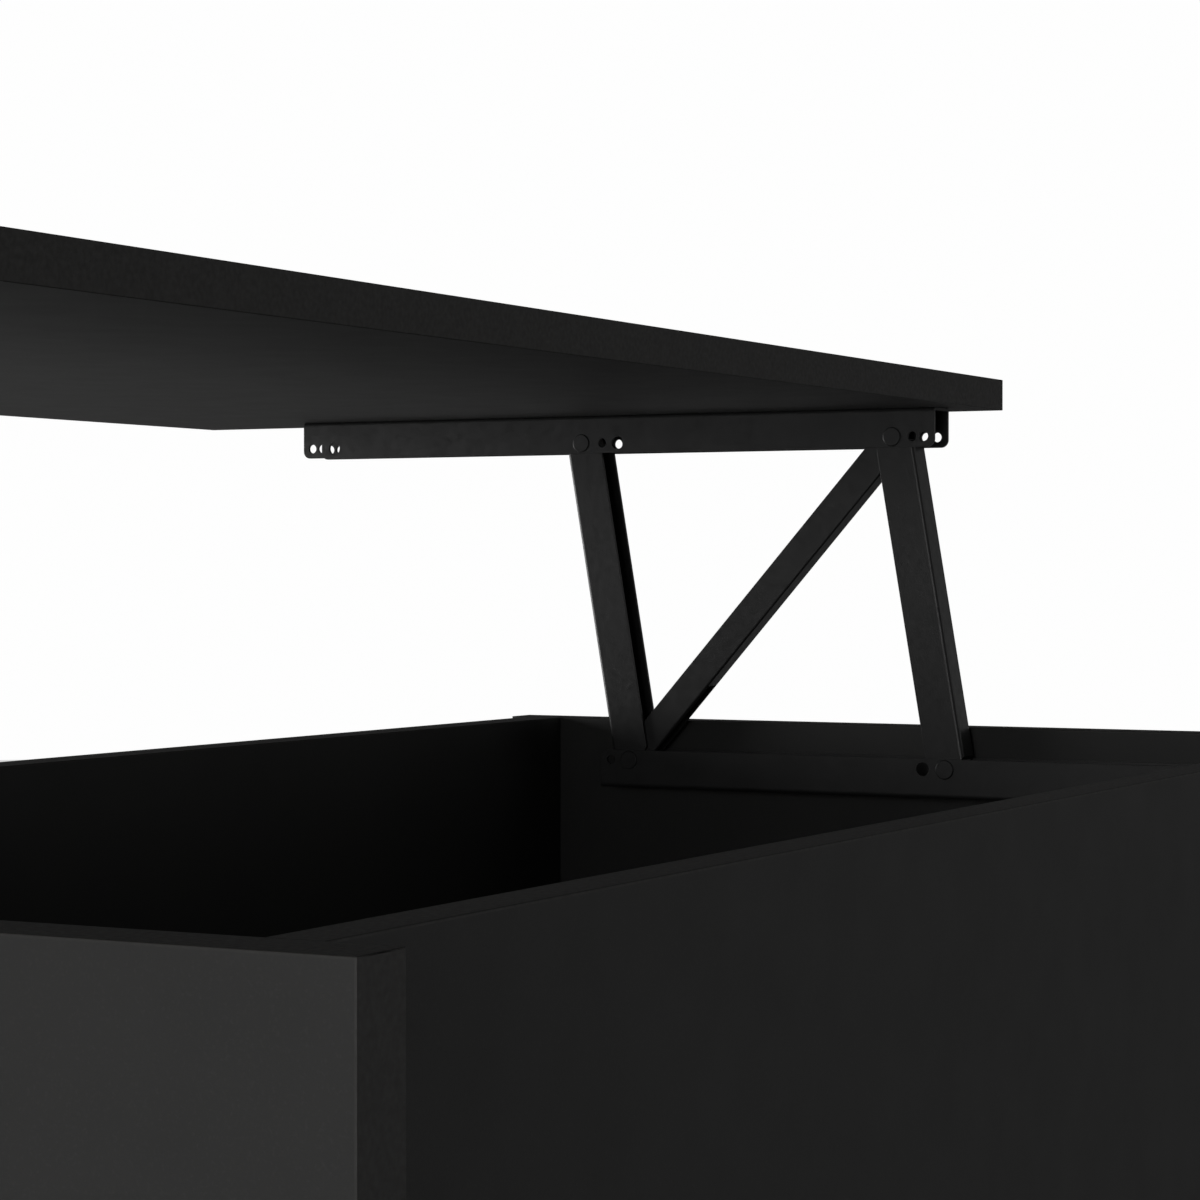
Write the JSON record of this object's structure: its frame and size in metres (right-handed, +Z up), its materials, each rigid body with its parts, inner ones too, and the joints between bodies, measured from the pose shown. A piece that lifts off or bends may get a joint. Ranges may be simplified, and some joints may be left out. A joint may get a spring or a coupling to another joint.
{
  "type": "lift top coffee table",
  "caption": "Black coffee table with an open storage box on two end panels, and a top that rises and comes forward on parallel-arm steel lift mechanisms; top raised.",
  "frame": {"origin": "middle of the bottom of the box round the whole table with its top raised, on the floor", "axes": "+X along the table's length, to the user's right; +Y away from the user, who sits on the -Y side towards which the top rises; +Z up"},
  "size_m": [1, 0.7232, 0.5933],
  "materials": {
    "black_board": "matte black melamine-faced particle board",
    "edge_band": "matte black plastic edge strip",
    "black_steel": "satin black powder coat",
    "rivet_steel": "satin black powder coat",
    "spring_steel": "dark oiled spring wire",
    "plated_screws": "black zinc plate",
    "zinc_casting": "bare zinc casting",
    "black_plastic": "matte black plastic",
    "beech": "fluted beech dowel"
  },
  "bodies": {
    "base": {"end_panel_left": "black_board", "end_panel_right": "black_board", "end_panel_edge_bands": "edge_band", "front_panel": "black_board", "back_panel": "black_board", "long_panel_edge_bands": "edge_band", "bottom_panel": "black_board", "cam_locks": "zinc_casting", "cam_bolts": "plated_screws", "cam_cover_caps": "black_plastic", "wood_dowels": "beech", "floor_glides": "black_plastic", "lower_rail_left": "black_steel", "lower_rail_right": "black_steel", "lower_rail_screws": "plated_screws", "strut_base_pins": "rivet_steel", "rear_arm_base_rivets": "rivet_steel"},
    "top": {"top_panel": "black_board", "top_edge_band": "edge_band", "upper_rail_left": "black_steel", "upper_rail_right": "black_steel", "upper_rail_screws": "plated_screws", "strut_top_pins": "rivet_steel", "front_arm_top_rivets": "rivet_steel"},
    "front_arm_left": {"front_arm_left": "black_steel"},
    "rear_arm_left": {"rear_arm_left": "black_steel"},
    "strut_sleeve_left": {"strut_sleeve_left": "black_steel", "assist_spring_left": "spring_steel"},
    "strut_slider_left": {"strut_slider_left": "black_steel"},
    "front_arm_right": {"front_arm_right": "black_steel"},
    "rear_arm_right": {"rear_arm_right": "black_steel"},
    "strut_sleeve_right": {"strut_sleeve_right": "black_steel", "assist_spring_right": "spring_steel"},
    "strut_slider_right": {"strut_slider_right": "black_steel"}
  },
  "joints": [
    {"name": "lift", "type": "hinge", "parent": "base", "child": "front_arm_left", "pos_m": [-0.4602, -0.05615, 0.3911], "axis": [-1, 0, 0], "range_deg": [0, 96.11]},
    {"name": "front_arm_right_turn", "type": "hinge", "parent": "base", "child": "front_arm_right", "pos_m": [0.4602, -0.05615, 0.3911], "axis": [-1, 0, 0], "range_deg": [0, 96.11]},
    {"name": "rear_arm_left_turn", "type": "hinge", "parent": "base", "child": "rear_arm_left", "pos_m": [-0.4602, 0.12565, 0.3911], "axis": [-1, 0, 0], "range_deg": [0, 96.11]},
    {"name": "rear_arm_right_turn", "type": "hinge", "parent": "base", "child": "rear_arm_right", "pos_m": [0.4602, 0.12565, 0.3911], "axis": [-1, 0, 0], "range_deg": [0, 96.11]},
    {"name": "top_level", "type": "hinge", "parent": "front_arm_left", "child": "top", "pos_m": [-0.4602, -0.08565, 0.56248], "axis": [-1, 0, 0], "range_deg": [-96.11, 0]},
    {"name": "strut_sleeve_left_turn", "type": "hinge", "parent": "top", "child": "strut_sleeve_left", "pos_m": [-0.4602, 0.09614, 0.56248], "axis": [-1, 0, 0], "range_deg": [0, 46.59], "deforming": ["assist_spring_left"]},
    {"name": "strut_slider_left_turn", "type": "hinge", "parent": "base", "child": "strut_slider_left", "pos_m": [-0.4602, -0.05615, 0.3911], "axis": [-1, 0, 0], "range_deg": [0, 46.59]},
    {"name": "strut_sleeve_right_turn", "type": "hinge", "parent": "top", "child": "strut_sleeve_right", "pos_m": [0.4602, 0.09614, 0.56248], "axis": [-1, 0, 0], "range_deg": [0, 46.59], "deforming": ["assist_spring_right"]},
    {"name": "strut_slider_right_turn", "type": "hinge", "parent": "base", "child": "strut_slider_right", "pos_m": [0.4602, -0.05615, 0.3911], "axis": [-1, 0, 0], "range_deg": [0, 46.59]}
  ],
  "couplings": [
    {"joint": "front_arm_right_turn", "follows": "lift", "ratio": 1},
    {"joint": "rear_arm_left_turn", "follows": "lift", "ratio": 1},
    {"joint": "rear_arm_right_turn", "follows": "lift", "ratio": 1},
    {"joint": "top_level", "follows": "lift", "ratio": -1},
    {"joint": "strut_sleeve_left_turn", "follows": "lift", "ratio": 0.48471},
    {"joint": "strut_slider_left_turn", "follows": "lift", "ratio": 0.48471},
    {"joint": "strut_sleeve_right_turn", "follows": "lift", "ratio": 0.48471},
    {"joint": "strut_slider_right_turn", "follows": "lift", "ratio": 0.48471}
  ]
}
